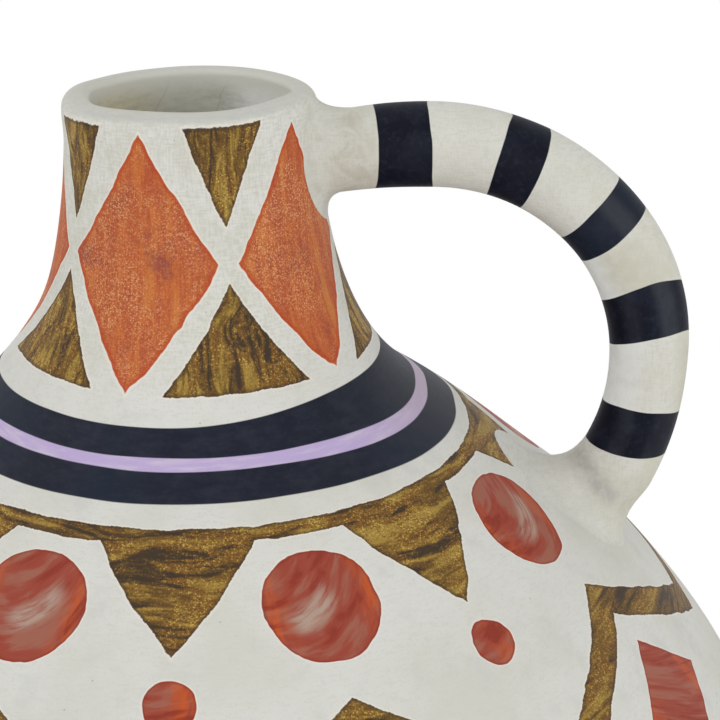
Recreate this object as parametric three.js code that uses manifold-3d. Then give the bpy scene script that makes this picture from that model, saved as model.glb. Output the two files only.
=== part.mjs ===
// Terracotta demijohn vase: a round jar with a flat foot, a flared neck and one looped handle.
// Its thrown sections are luted together with slip: each seam is lapped, most with a coil pressed in behind.
// Millimetres, +Z up, origin at the middle of the foot, handle towards +X.
import * as THREE from "three";
import { mergeVertices } from "three/addons/utils/BufferGeometryUtils.js";
import Module from "manifold-3d";

// Outer face of the wall: radius at each knot, rise from the knot below, and lean from level in degrees
const FOOT_RADIUS = 95;
const FOOT_LEAN = 145;
const BELLY_RADIUS = 197;
const BELLY_RISE = 178;
const BELLY_LEAN = 90;
const SHOULDER_RADIUS = 133;
const SHOULDER_RISE = 115;
const SHOULDER_LEAN = 40;
const COLLAR_RADIUS = 77;
const COLLAR_RISE = 45;
const COLLAR_LEAN = 33.5;
const NECK_RADIUS = 39.6;
const NECK_RISE = 102;
const NECK_LEAN = 90;
const CURVE_PULL = 0.35; // part of a stretch's chord over which each knot's lean carries

// Wall, floor and seams
const WALL = 8;
const FLOOR_SEAM_RISE = 5; // from the ground to the outer edge of the floor's bevel
const REST_WIDTH = 16; // flat ring that stands on the ground
const RECESS_DEPTH = 2; // hollow under the floor, inside that ring
const SLIP_GAP = 0.3; // film of slip in every seam
const LAP = 6; // height of a seam's lap
const NECK_SEAM_RISE = 6; // from the collar's knot to the seam under the neck
const LIP_SEAT = 2; // inner face of the lip below its round

// Coils pressed in behind the seams
const COIL_SPAN = 14;
const COIL_THICKNESS = 5;
const FLOOR_COIL_REACH = 11;
const FLOOR_COIL_HOLLOW = 0.3; // share of the way to the corner that its face is hollowed

// Handle: middle line in the plane through the axis, from the neck out, down and back to the shoulder
const HANDLE_RADIUS = 13.2;
const HANDLE_ROOT_DROP = 21; // from the rim's top down to where the middle line leaves the neck
const HANDLE_DROP = 18.3; // the same to the middle line of the upper run
const HANDLE_LEAD = 35.5; // reach from the neck over which it rises to that level
const HANDLE_REACH = 146.3; // from the axis to the middle line of the side
const HANDLE_SIDE_DROP = 85.7; // from the rim's top down to the furthest point of the side
const HANDLE_FOOT_RADIUS = 129; // from the axis to where the middle line meets the shoulder
const HANDLE_FOOT_LEAN = 115; // from level, in degrees, as the wall's leans are
const HANDLE_FOOT_STRAIGHT = 10; // straight run out of the shoulder
const HANDLE_TOP_PULL = 35.5;
const HANDLE_SIDE_PULL_UP = 39;
const HANDLE_SIDE_PULL_DOWN = 30;
const HANDLE_FOOT_PULL = 8;
const HANDLE_SINK = 14; // how far the raw ends reach into the wall before they are trimmed to it

// Wads of clay smoothed round the handle's two roots. Their flares lie along the wall, beyond the handle.
const LUTE_LENGTH = 13;
const LUTE_BEND_RISE = 4.3; // distance from the wall at which the flare turns along the handle
const LUTE_EDGE = 1; // at the far end, beyond the handle's surface
const TOP_FLARE = { outer: 4.5, flank: 5, inner: 3.5 };
const FOOT_FLARE = { outer: 2, flank: 5, inner: 16 };

// Fineness of the faceted solids
const ROUND_STEPS = 48;
const BAND_STEP = 14;
const ARC_STEPS = 6;
const HANDLE_STEPS = 40;
const HANDLE_SIDES = 16;
const HALVINGS = 40;
const MERGE_DISTANCE = 1e-4;

// Heights that follow from the sizes above
const SHOULDER_HEIGHT = BELLY_RISE + SHOULDER_RISE;
const COLLAR_HEIGHT = SHOULDER_HEIGHT + COLLAR_RISE;
const RIM_HEIGHT = COLLAR_HEIGHT + NECK_RISE;
const LIP_ROUND = WALL / 2;
const LIP_SEAM = RIM_HEIGHT - LIP_ROUND - LIP_SEAT - LAP;
const NECK_SEAM = COLLAR_HEIGHT + NECK_SEAM_RISE;
const BELLY_SEAM = BELLY_RISE;
const SPIGOT_FACE = WALL / 2 + SLIP_GAP / 2;
const REBATE_FACE = WALL / 2 - SLIP_GAP / 2;

const KNOTS = [
  { radius: FOOT_RADIUS, height: 0, lean: FOOT_LEAN },
  { radius: BELLY_RADIUS, height: BELLY_RISE, lean: BELLY_LEAN },
  { radius: SHOULDER_RADIUS, height: SHOULDER_HEIGHT, lean: SHOULDER_LEAN },
  { radius: COLLAR_RADIUS, height: COLLAR_HEIGHT, lean: COLLAR_LEAN },
  { radius: NECK_RADIUS, height: RIM_HEIGHT, lean: NECK_LEAN },
];

// Stretches of the outer face between seams, each with its own run of facets
const OUTER_BANDS = [
  [0, FLOOR_SEAM_RISE],
  [FLOOR_SEAM_RISE + SLIP_GAP, BELLY_SEAM],
  [BELLY_SEAM + SLIP_GAP, NECK_SEAM],
  [NECK_SEAM + SLIP_GAP, LIP_SEAM],
  [LIP_SEAM + SLIP_GAP, RIM_HEIGHT - LIP_ROUND],
];
const [FLOOR_BAND, BOWL_BAND, DOME_BAND, NECK_BAND, LIP_BAND] = OUTER_BANDS;

// The same for the inner face, where a seam lies a lap higher
const BOWL_INSIDE = [FLOOR_SEAM_RISE + SLIP_GAP, BELLY_SEAM + LAP];
const DOME_INSIDE = [BELLY_SEAM + LAP + SLIP_GAP, NECK_SEAM + LAP];
const NECK_INSIDE = [NECK_SEAM + LAP + SLIP_GAP, LIP_SEAM + LAP];

const wasm = await Module();
wasm.setup();

const flat = (x, y) => new THREE.Vector2(x, y);
const sidePlane = (point) => new THREE.Vector3(point.x, 0, point.y);

// The wall's line

function leanWay(lean) {
  const angle = THREE.MathUtils.degToRad(lean);
  return flat(-Math.cos(angle), Math.sin(angle));
}

function wallStretch(low, high) {
  const start = flat(low.radius, low.height);
  const end = flat(high.radius, high.height);
  const reach = CURVE_PULL * start.distanceTo(end);
  const leave = start.clone().addScaledVector(leanWay(low.lean), reach);
  const arrive = end.clone().addScaledVector(leanWay(high.lean), -reach);
  return new THREE.CubicBezierCurve(start, leave, arrive, end);
}

const WALL_LINE = KNOTS.slice(1).map((knot, i) => wallStretch(KNOTS[i], knot));

// Parameter from 0 to 1 at which a rising quantity on a curve reaches a value
function solve(rising, value) {
  let low = 0;
  let high = 1;
  for (let i = 0; i < HALVINGS; i += 1) {
    const middle = (low + high) / 2;
    if (rising(middle) < value) {
      low = middle;
    } else {
      high = middle;
    }
  }
  return (low + high) / 2;
}

// Point of the outer face at a height, and the way up along it
function wallSpot(height) {
  const stretch = WALL_LINE.find((curve) => height <= curve.v3.y) ?? WALL_LINE.at(-1);
  const t = solve((s) => stretch.getPoint(s).y, height);
  return { point: stretch.getPoint(t), way: stretch.getTangent(t) };
}

// Point of the wall at a height of its outer face, a depth behind that face
function wallAt(height, depth) {
  const { point, way } = wallSpot(height);
  return point.add(flat(-way.y, way.x).multiplyScalar(depth));
}

// Height at which the outer face above the belly has a radius
function heightAtRadius(radius) {
  const share = solve((s) => -wallAt(THREE.MathUtils.lerp(BELLY_RISE, RIM_HEIGHT, s), 0).x, -radius);
  return THREE.MathUtils.lerp(BELLY_RISE, RIM_HEIGHT, share);
}

function bandHeights([low, high]) {
  const steps = Math.ceil((high - low) / BAND_STEP);
  return Array.from({ length: steps + 1 }, (_, i) => THREE.MathUtils.lerp(low, high, i / steps));
}

function band(range, depth) {
  return bandHeights(range).map((height) => wallAt(height, depth));
}

// Point on the facets of a band, between two of its heights
function facetAt(range, height, depth) {
  const heights = bandHeights(range);
  const above = heights.findIndex((knot, i) => i > 0 && height <= knot);
  const [low, high] = heights.slice(above - 1, above + 1);
  return wallAt(low, depth).lerp(wallAt(high, depth), (height - low) / (high - low));
}

// Part of a band's facets, from one height to another
function bandPart(range, from, to, depth) {
  const between = bandHeights(range).filter((height) => height > from && height < to);
  const middle = between.map((height) => wallAt(height, depth));
  return [facetAt(range, from, depth), ...middle, facetAt(range, to, depth)];
}

function arc(centre, along, across, from, to) {
  return Array.from({ length: ARC_STEPS + 1 }, (_, i) => {
    const angle = THREE.MathUtils.lerp(from, to, i / ARC_STEPS);
    return centre.clone().addScaledVector(along, Math.cos(angle)).addScaledVector(across, Math.sin(angle));
  });
}

// Solids

function turned(profile) {
  const closed = profile[0].x === 0 ? profile : [...profile, profile[0]];
  return new THREE.LatheGeometry(closed, ROUND_STEPS).rotateX(Math.PI / 2);
}

function toSolid(geometry) {
  const bare = geometry.clone();
  bare.deleteAttribute("normal");
  bare.deleteAttribute("uv");
  const merged = mergeVertices(bare, MERGE_DISTANCE);
  const corners = merged.index.array;
  const triVerts = [];
  for (let i = 0; i < corners.length; i += 3) {
    const [a, b, c] = corners.slice(i, i + 3);
    if (a !== b && b !== c && c !== a) {
      triVerts.push(a, b, c);
    }
  }
  const mesh = new wasm.Mesh({
    numProp: 3,
    vertProperties: merged.attributes.position.array,
    triVerts: Uint32Array.from(triVerts),
  });
  return new wasm.Manifold(mesh);
}

function fromSolid(solid) {
  const { vertProperties, triVerts } = solid.getMesh();
  const geometry = new THREE.BufferGeometry();
  geometry.setAttribute("position", new THREE.BufferAttribute(vertProperties, 3));
  geometry.setIndex(new THREE.BufferAttribute(triVerts, 1));
  return geometry;
}

// Seams: the lower section ends in a tongue on its inner half, and the upper one is cut back to sit over it

function tongue(seam) {
  return [wallAt(seam, SPIGOT_FACE), wallAt(seam + LAP, SPIGOT_FACE)];
}

function rebate(seam) {
  const top = seam + LAP + SLIP_GAP;
  return [wallAt(top, REBATE_FACE), wallAt(seam + SLIP_GAP, REBATE_FACE)];
}

// Floor with a bevelled edge that the bowl's wall stands on, hollowed a little underneath
function baseDisc() {
  const bevelTop = wallAt(FLOOR_SEAM_RISE, WALL);
  const restInner = FOOT_RADIUS - REST_WIDTH;
  return turned([
    flat(0, RECESS_DEPTH),
    flat(restInner - RECESS_DEPTH, RECESS_DEPTH),
    flat(restInner, 0),
    ...band(FLOOR_BAND, 0),
    bevelTop,
    flat(0, bevelTop.y),
  ]);
}

function lowerBowl() {
  return turned([
    ...band(BOWL_BAND, 0),
    ...tongue(BELLY_SEAM),
    ...band(BOWL_INSIDE, WALL).reverse(),
  ]);
}

function upperDome() {
  return turned([
    ...band(DOME_BAND, 0),
    ...tongue(NECK_SEAM),
    ...band(DOME_INSIDE, WALL).reverse(),
    ...rebate(BELLY_SEAM),
  ]);
}

function neck() {
  return turned([
    ...band(NECK_BAND, 0),
    ...tongue(LIP_SEAM),
    ...band(NECK_INSIDE, WALL).reverse(),
    ...rebate(NECK_SEAM),
  ]);
}

function lip() {
  const outer = wallAt(LIP_BAND[1], 0);
  const middle = wallAt(LIP_BAND[1], LIP_ROUND);
  const along = outer.clone().sub(middle);
  const round = arc(middle, along, flat(-along.y, along.x), 0, Math.PI);
  return turned([
    ...band(LIP_BAND, 0).slice(0, -1),
    ...round,
    wallAt(LIP_SEAM + LAP + SLIP_GAP, WALL),
    ...rebate(LIP_SEAM),
  ]);
}

// Rounded coil on the inner face of the wall, over the seam between two sections
function seamCoil(below, above) {
  const depth = WALL + SLIP_GAP;
  const back = [
    ...bandPart(below, below[1] - COIL_SPAN / 2, below[1], depth),
    ...bandPart(above, above[0], above[0] + COIL_SPAN / 2, depth),
  ];
  const half = back.at(-1).clone().sub(back[0]).multiplyScalar(0.5);
  const inward = flat(-half.y, half.x).setLength(COIL_THICKNESS);
  const round = arc(back[0].clone().add(half), half, inward, 0, Math.PI);
  return turned([...back, ...round.slice(1, -1)]);
}

// Coil smoothed into the corner between the floor and the bowl
function floorCoil() {
  const seat = wallAt(FLOOR_SEAM_RISE, WALL).y + SLIP_GAP;
  const start = BOWL_INSIDE[0] + SLIP_GAP;
  const back = bandPart(BOWL_INSIDE, start, start + FLOOR_COIL_REACH, WALL + SLIP_GAP);
  const corner = flat(wallAt(BOWL_INSIDE[0], WALL).x - SLIP_GAP, seat);
  const top = back.at(-1);
  const toe = flat(corner.x - FLOOR_COIL_REACH, seat);
  const hollow = top.clone().add(toe).multiplyScalar(0.5).lerp(corner, FLOOR_COIL_HOLLOW);
  const face = new THREE.QuadraticBezierCurve(top, hollow, toe).getPoints(ARC_STEPS);
  return turned([corner, ...back, ...face.slice(1)]);
}

// Handle

const TOP_SPOT = wallSpot(RIM_HEIGHT - HANDLE_ROOT_DROP);
const FOOT_SPOT = wallSpot(heightAtRadius(HANDLE_FOOT_RADIUS));
const TOP_ROOT = TOP_SPOT.point;
const FOOT_ROOT = FOOT_SPOT.point;
const LEAD_BEND = flat(TOP_ROOT.x + HANDLE_LEAD / 2, RIM_HEIGHT - HANDLE_DROP);
const TOP_WAY = LEAD_BEND.clone().sub(TOP_ROOT).normalize();
const FOOT_WAY = leanWay(HANDLE_FOOT_LEAN);

function handlePath() {
  const leadEnd = flat(TOP_ROOT.x + HANDLE_LEAD, LEAD_BEND.y);
  const side = flat(HANDLE_REACH, RIM_HEIGHT - HANDLE_SIDE_DROP);
  const footStart = FOOT_ROOT.clone().addScaledVector(FOOT_WAY, HANDLE_FOOT_STRAIGHT);
  const lead = [TOP_ROOT, LEAD_BEND, leadEnd];
  const over = [
    leadEnd,
    flat(leadEnd.x + HANDLE_TOP_PULL, leadEnd.y),
    flat(side.x, side.y + HANDLE_SIDE_PULL_UP),
    side,
  ];
  const down = [
    side,
    flat(side.x, side.y - HANDLE_SIDE_PULL_DOWN),
    footStart.clone().addScaledVector(FOOT_WAY, HANDLE_FOOT_PULL),
    footStart,
  ];
  const path = new THREE.CurvePath();
  const rawTop = TOP_ROOT.clone().addScaledVector(TOP_WAY, -HANDLE_SINK);
  const rawFoot = FOOT_ROOT.clone().addScaledVector(FOOT_WAY, -HANDLE_SINK);
  path.add(new THREE.LineCurve3(sidePlane(rawTop), sidePlane(TOP_ROOT)));
  path.add(new THREE.QuadraticBezierCurve3(...lead.map(sidePlane)));
  path.add(new THREE.CubicBezierCurve3(...over.map(sidePlane)));
  path.add(new THREE.CubicBezierCurve3(...down.map(sidePlane)));
  path.add(new THREE.LineCurve3(sidePlane(footStart), sidePlane(rawFoot)));
  return path;
}

function handleTube(radius) {
  const circle = new THREE.Shape().absarc(0, 0, radius, 0, 2 * Math.PI);
  const sweep = {
    extrudePath: handlePath(),
    steps: HANDLE_STEPS,
    curveSegments: HANDLE_SIDES / 2,
    bevelEnabled: false,
  };
  return toSolid(new THREE.ExtrudeGeometry(circle, sweep));
}

// Everything behind the outer face, with the slip's film on it, which trims what is luted on from outside
function wallCore() {
  const face = OUTER_BANDS.flatMap((heights) => band(heights, -SLIP_GAP));
  const top = RIM_HEIGHT + WALL;
  return toSolid(turned([flat(0, 0), ...face, flat(face.at(-1).x, top), flat(0, top)]));
}

const CORE = wallCore();

function handle() {
  return fromSolid(handleTube(HANDLE_RADIUS).subtract(CORE));
}

// Flared wad round one root, trimmed to the wall and bored for the handle. Its rings lie along the wall.
function rootLute(root, way, outward, flare) {
  const thick = HANDLE_RADIUS + flare.flank;
  const thin = HANDLE_RADIUS + LUTE_EDGE;
  const shift = (flare.outer - flare.inner) / 2;
  const stretch = (flare.outer + flare.inner) / 2 - flare.flank;
  const end = flat(thin, LUTE_LENGTH);
  const face = new THREE.QuadraticBezierCurve(flat(thick, 0), flat(thin, LUTE_BEND_RISE), end);
  const profile = [
    flat(0, -HANDLE_SINK),
    flat(thick, -HANDLE_SINK),
    ...face.getPoints(ARC_STEPS),
    flat(0, LUTE_LENGTH),
  ];
  const wad = new THREE.LatheGeometry(profile, HANDLE_SIDES);
  const spots = wad.attributes.position;
  for (let i = 0; i < spots.count; i += 1) {
    const radius = Math.hypot(spots.getX(i), spots.getZ(i));
    const share = Math.max(0, (radius - thin) / (thick - thin));
    spots.setX(i, spots.getX(i) * (1 + (share * stretch) / thick) + share * shift);
  }
  const [x, y] = [sidePlane(outward), sidePlane(way)];
  const across = x.clone().cross(y).normalize();
  wad.applyMatrix4(new THREE.Matrix4().makeBasis(x, y, across));
  wad.translate(root.x, 0, root.y);
  return fromSolid(toSolid(wad).subtract(CORE).subtract(handleTube(HANDLE_RADIUS + SLIP_GAP)));
}

// Assembly

const PAINTED_SLIP = { color: 0xddd9cc, roughness: 0.72, metalness: 0 };
const BARE_CLAY = { color: 0xb9866a, roughness: 0.9, metalness: 0 };

function piece(name, geometry, finish) {
  const mesh = new THREE.Mesh(geometry, new THREE.MeshStandardMaterial(finish));
  mesh.name = name;
  return mesh;
}

const vase = new THREE.Group();
vase.name = "demijohn_vase";
vase.add(
  piece("base_disc", baseDisc(), BARE_CLAY),
  piece("lower_bowl", lowerBowl(), PAINTED_SLIP),
  piece("upper_dome", upperDome(), PAINTED_SLIP),
  piece("neck", neck(), PAINTED_SLIP),
  piece("lip", lip(), PAINTED_SLIP),
  piece("floor_coil", floorCoil(), BARE_CLAY),
  piece("belly_coil", seamCoil(BOWL_INSIDE, DOME_INSIDE), BARE_CLAY),
  piece("neck_coil", seamCoil(DOME_INSIDE, NECK_INSIDE), BARE_CLAY),
  piece("handle", handle(), PAINTED_SLIP),
  piece("handle_top_lute", rootLute(TOP_ROOT, TOP_WAY, TOP_SPOT.way, TOP_FLARE), PAINTED_SLIP),
  piece("handle_foot_lute", rootLute(FOOT_ROOT, FOOT_WAY, FOOT_SPOT.way.negate(), FOOT_FLARE), PAINTED_SLIP),
);

export default vase;
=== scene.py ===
import math

import bpy
import numpy as np
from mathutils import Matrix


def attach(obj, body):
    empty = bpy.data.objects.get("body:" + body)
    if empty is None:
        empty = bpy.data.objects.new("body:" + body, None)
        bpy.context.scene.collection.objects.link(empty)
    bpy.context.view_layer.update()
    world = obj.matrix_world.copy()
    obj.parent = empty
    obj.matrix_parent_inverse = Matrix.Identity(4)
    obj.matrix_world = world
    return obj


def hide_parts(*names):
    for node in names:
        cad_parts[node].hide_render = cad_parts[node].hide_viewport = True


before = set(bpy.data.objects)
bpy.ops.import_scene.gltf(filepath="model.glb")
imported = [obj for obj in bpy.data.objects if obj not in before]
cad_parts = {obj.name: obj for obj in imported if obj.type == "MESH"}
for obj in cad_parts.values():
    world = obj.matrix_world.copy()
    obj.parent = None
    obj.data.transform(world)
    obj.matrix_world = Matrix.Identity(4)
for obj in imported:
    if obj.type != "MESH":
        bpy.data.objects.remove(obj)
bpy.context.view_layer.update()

MM = 0.001

# Outer face of the wall: radius, height and lean from level in degrees at each knot
KNOTS = ((95, 0, 145), (197, 178, 90), (133, 293, 40), (77, 338, 33.5), (39.6, 440, 90))
CURVE_PULL = 0.35
CURVE_STEPS = 400
WALL = 8
RIM = KNOTS[-1][1]
FOOT_RADIUS = KNOTS[0][0]
LIP_ROUND = 4.5
LIP_INNER_ROUND = 2.6

# Sections and their lapped seams
FLOOR_SEAM = 5
BELLY_SEAM = 178
NECK_SEAM = 344
LIP_SEAM = 428
LAP = 6
REST_WIDTH = 16
RECESS_DEPTH = 2
LIP_SWELL = 0.6
LIP_SWELL_HEIGHT = 434
LIP_SWELL_SPAN = 5

# Coils behind the seams
COIL_SPAN = 14
COIL_THICKNESS = 5
FLOOR_COIL_REACH = 11
FLOOR_COIL_HOLLOW = 0.3

# Handle's middle line
HANDLE_RADIUS = 13.2
HANDLE_ROOT_DROP = 21
HANDLE_DROP = 18.3
HANDLE_LEAD = 35.5
HANDLE_SIDE = (146.3, RIM - 85.7)
HANDLE_FOOT_RADIUS = 129
HANDLE_FOOT_LEAN = 115
HANDLE_FOOT_STRAIGHT = 10
HANDLE_PULLS = (35.5, 39, 30, 8)
HANDLE_SINK = 6

# Wads round the handle's roots: flare along the wall and length along the handle, each on the
# handle's outer side, flanks and inner side, and how far the fillet fills its corner
TOP_LUTE = {"flare": (6.2, 5, 8), "length": (10, 11, 5), "fullness": 0.2}
FOOT_LUTE = {"flare": (2, 7, 27), "length": (8, 14, 20), "fullness": 0.09}
LUTE_INNER_POWER = 2.6
LUTE_EDGE = 0.04
LUTE_SUNK = 0.8

# Unevenness of the thrown wall, with angles in radians from the handle
# Waves: size, count round the jar, height over which they shift by one radian, start
WALL_WAVES = ((0.28, 2, 90, 0.7), (0.16, 3, -55, 2), (0.1, 5, 38, 1.2))
# Bumps: size, angle and its spread, height and its spread
WALL_BUMPS = (
    (1.6, math.pi, 0.6, 350, 16),
    (-0.7, math.pi, 0.6, 374, 16),
    (2.6, 0, 0.4, 285, 15),
    (0.5, 0.9, 0.5, 318, 22),
)
# Lip pressed in beside the handle: spread of the angle, start and span of height and radius
LIP_PRESS_SPREAD = 0.5
LIP_PRESS_HEIGHT = (426, 9)
LIP_PRESS_RADIUS = (33, 6)
# Rim: dip, slopes to the front and to the handle, and how that one grows; wave, bumps, reach
RIM_DIP = 0.65
RIM_SLOPE_FRONT = 0.02
RIM_SLOPE_SIDE = 0.026
RIM_SLOPE_SIDE_FRONT = (-30, 50)
RIM_WAVE = (0.3, 4, 1.15)
RIM_BUMPS = ((0.7, math.pi, 0.35), (0.35, 1.75, 0.35), (-0.5, 2.6, 0.3))
RIM_HEIGHT_REACH = (405, 30)
RIM_RADIUS_REACH = (75, 30)

# Unevenness of the handle along its run
# Swells: size and run for one radian, first all round and then as an oval
HANDLE_SWELL = (0.18, 17)
HANDLE_OVAL = (0.12, 31)
HANDLE_TRUE_ENDS = (18, 15)  # run that stays round at each root, and the span after it
# Wear: depth; depth, start and span where it grows; depth, run and spread of hollows
OUTER_WEAR = 0.1
OUTER_WEAR_GROWS = ((0.2, 120, 30), (2.9, 187, 16))
OUTER_HOLLOW = (0.5, 10, 8)
INNER_HOLLOWS = ((-0.15, 88, 20), (1, 154, 20))

# Fineness of the meshes
ROUND_STEPS = 240
RING_STEP = 2.2
INNER_STEP = 6
SEAM_STEP = 0.15
ARC_STEPS = 14
HANDLE_STEP = 1.3
HANDLE_SIDES = 72
HANDLE_TURNS = np.arange(HANDLE_SIDES) * 2 * math.pi / HANDLE_SIDES
LUTE_STEPS = 14
FOOT_ROWS = 6
COIL_ROWS = 9
HANDLE_FOOT_ROWS = 20
SHARP_ANGLE = 40
WALL_SEARCH = (-60.0, 40.0)
WALL_SEARCH_HALVINGS = 40

# Camera fitted to the photograph
CAMERA_PLACE = (52.7, -640, 586.3)
CAMERA_DOWN = 20.3
CAMERA_LENS = 105
CAMERA_SENSOR = 36


# Wall line

def bezier(points, steps):
    t = np.linspace(0, 1, steps + 1)[:, None]
    a, b, c, d = (np.asarray(p, float) for p in points)
    return (1 - t) ** 3 * a + 3 * t * (1 - t) ** 2 * b + 3 * t ** 2 * (1 - t) * c + t ** 3 * d


def lean_way(lean):
    return np.array([-math.cos(math.radians(lean)), math.sin(math.radians(lean))])


def wall_line():
    stretches = []
    for low, high in zip(KNOTS, KNOTS[1:]):
        start, end = np.array(low[:2], float), np.array(high[:2], float)
        reach = CURVE_PULL * np.hypot(*(end - start))
        leave, arrive = start + reach * lean_way(low[2]), end - reach * lean_way(high[2])
        stretches.append(bezier((start, leave, arrive, end), CURVE_STEPS)[:-1])
    return np.vstack([*stretches, end])


LINE = wall_line()
LINE_WAY = np.gradient(LINE, axis=0)
LINE_WAY /= np.linalg.norm(LINE_WAY, axis=1)[:, None]
LINE_RUN = np.concatenate([[0], np.cumsum(np.hypot(*np.diff(LINE, axis=0).T))])


def along_line(heights, values):
    return np.interp(heights, LINE[:, 1], values)


def drop_at(heights):
    return LINE_RUN[-1] - along_line(heights, LINE_RUN)


def swell_at(heights):
    return LIP_SWELL * np.exp(-((np.asarray(heights, float) - LIP_SWELL_HEIGHT) / LIP_SWELL_SPAN) ** 2)


def wall_at(heights, depth):
    """Rows of radius, height and drop from the rim, a depth behind the outer face."""
    heights = np.atleast_1d(np.asarray(heights, float))
    out = along_line(heights, LINE_WAY[:, 1]), -along_line(heights, LINE_WAY[:, 0])
    radius = along_line(heights, LINE[:, 0]) - depth * out[0]
    if depth == 0:
        radius = radius + swell_at(heights)
    return np.column_stack([radius, heights - depth * out[1], drop_at(heights)])


def face_radius(heights):
    """Radius of the outer face, over the lip's round too."""
    heights = np.asarray(heights, float)
    over = np.clip(heights - (RIM - LIP_ROUND), 0, LIP_ROUND)
    tuck = LIP_ROUND - np.sqrt(np.maximum(LIP_ROUND ** 2 - over ** 2, 0))
    return along_line(heights, LINE[:, 0]) + swell_at(heights) - tuck


def face(low, high, step):
    """Heights from seam to seam, closer at both ends, where the shading has to run on."""
    count = max(2, math.ceil((high - low) / step))
    inner = np.linspace(low, high, count + 1)[1:-1]
    return np.concatenate([[low, low + SEAM_STEP], inner, [high - SEAM_STEP, high]])


# Meshes

def dent(across, along):
    """A round hill of height 1 at 0, about 1 wide."""
    return np.exp(-across ** 2 - along ** 2)


def ramp(value, start, span):
    """0 up to start, 1 from a span later, straight between."""
    return np.clip((value - start) / span, 0, 1)


def turn_from(turn, place):
    """Angle from a place round the jar, from -pi to pi."""
    return (turn - place + math.pi) % (2 * math.pi) - math.pi


def wall_push(turn, radius, z):
    """How far a point of the wall stands out from true round."""
    push = np.zeros(len(z))
    for size, count, rise, start in WALL_WAVES:
        push += size * np.sin(count * turn + z / rise + start)
    for size, place, spread, height, span in WALL_BUMPS:
        push += size * dent(turn_from(turn, place) / spread, (z - height) / span)
    pressed = ramp(z, *LIP_PRESS_HEIGHT) * ramp(radius, *LIP_PRESS_RADIUS)
    return push - dent(turn / LIP_PRESS_SPREAD, 0) * pressed


def rim_lift(x, y, turn):
    """How far a point of the rim stands above a level rim."""
    wave, count, start = RIM_WAVE
    lift = wave * np.cos(count * (turn - start)) - RIM_DIP - RIM_SLOPE_FRONT * y
    lift += RIM_SLOPE_SIDE * x * ramp(-y, *RIM_SLOPE_SIDE_FRONT)
    for size, place, spread in RIM_BUMPS:
        lift += size * dent(turn_from(turn, place) / spread, 0)
    return lift


def by_hand(points):
    """Points in millimetres, pushed off true round as a thrown pot is."""
    x, y, z = points.T
    turn, radius = np.arctan2(y, x), np.hypot(x, y)
    push = wall_push(turn, radius, z)
    grow = 1 + np.where(radius > 1, push / np.maximum(radius, 1), 0)
    reach, span = RIM_RADIUS_REACH
    near_rim = ramp(z, *RIM_HEIGHT_REACH) * ramp(-radius, -reach, span)
    return np.column_stack([x * grow, y * grow, z + rim_lift(x, y, turn) * near_rim])


def add_object(name, data):
    thing = bpy.data.objects.new(name, data)
    bpy.context.scene.collection.objects.link(thing)
    return thing


def new_piece(name, points, faces, finishes, picks, values):
    mesh = bpy.data.meshes.new(name)
    mesh.from_pydata((by_hand(points) * MM).tolist(), [], faces)
    for finish in finishes:
        mesh.materials.append(finish)
    mesh.polygons.foreach_set("material_index", picks)
    mesh.polygons.foreach_set("use_smooth", [True] * len(faces))
    for key, column in values.items():
        attribute = mesh.attributes.new(key, "FLOAT", "POINT")
        attribute.data.foreach_set("value", np.asarray(column, np.float32))
    mesh.validate()
    mesh.set_sharp_from_angle(angle=math.radians(SHARP_ANGLE))
    return add_object(name, mesh)


def turned(name, runs, finishes):
    """Solid of revolution. Each run is rows of radius, height and drop, and a finish's number."""
    rows = np.vstack([run for run, _ in runs])
    picks = [pick for run, pick in runs for _ in run]
    angles = np.arange(ROUND_STEPS) * 2 * math.pi / ROUND_STEPS
    points, drops, rings = [], [], []
    for radius, height, drop in rows:
        turns = angles if radius > 0 else angles[:1]
        first = len(points)
        rings.append([first + i % len(turns) for i in range(ROUND_STEPS)])
        points += [(radius * math.cos(a), radius * math.sin(a), height) for a in turns]
        drops += [drop] * len(turns)
    faces, face_picks = [], []
    pointed = rows[0, 0] == 0
    for i in range(len(rows) - 1 if pointed else len(rows)):
        low, high = rings[i], rings[(i + 1) % len(rows)]
        for j in range(ROUND_STEPS):
            k = (j + 1) % ROUND_STEPS
            corners = list(dict.fromkeys((low[j], low[k], high[k], high[j])))
            if len(corners) > 2:
                faces.append(corners)
                face_picks.append(picks[i])
    return new_piece(name, np.array(points), faces, finishes, face_picks, {"drop": drops})


def grid_piece(name, rows, finish, values, capped):
    """Closed tube from rows of rings of points. Without caps the last ring joins the first."""
    count, sides = rows.shape[:2]
    faces = []
    for i in range(count - 1 if capped else count):
        for j in range(sides):
            k, m = (j + 1) % sides, (i + 1) % count
            faces.append((i * sides + j, i * sides + k, m * sides + k, m * sides + j))
    if capped:
        faces.append(tuple(range(sides))[::-1])
        faces.append(tuple((count - 1) * sides + j for j in range(sides)))
    flat = {key: np.asarray(column).reshape(-1) for key, column in values.items()}
    return new_piece(name, rows.reshape(-1, 3), faces, [finish], [0] * len(faces), flat)


# Thrown sections

def on_axis(*rows):
    return np.array([(*row, 0) for row in rows], float)


def lap(seam, upward):
    heights = (seam, seam + LAP) if upward else (seam + LAP, seam)
    return wall_at(heights, WALL / 2)


def inside(low, high):
    return wall_at(face(low, high, INNER_STEP)[::-1], WALL)


def make_base(clay):
    rest_inner = FOOT_RADIUS - REST_WIDTH
    top = wall_at(FLOOR_SEAM, WALL)
    hollow = on_axis((0, RECESS_DEPTH), (rest_inner - RECESS_DEPTH, RECESS_DEPTH), (rest_inner, 0))
    edge = wall_at(np.linspace(0, FLOOR_SEAM, FOOT_ROWS), 0)
    floor = on_axis((0, top[0, 1]))
    return turned("foot_floor", [(hollow, 0), (edge, 0), (top, 0), (floor, 0)], [clay])


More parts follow.
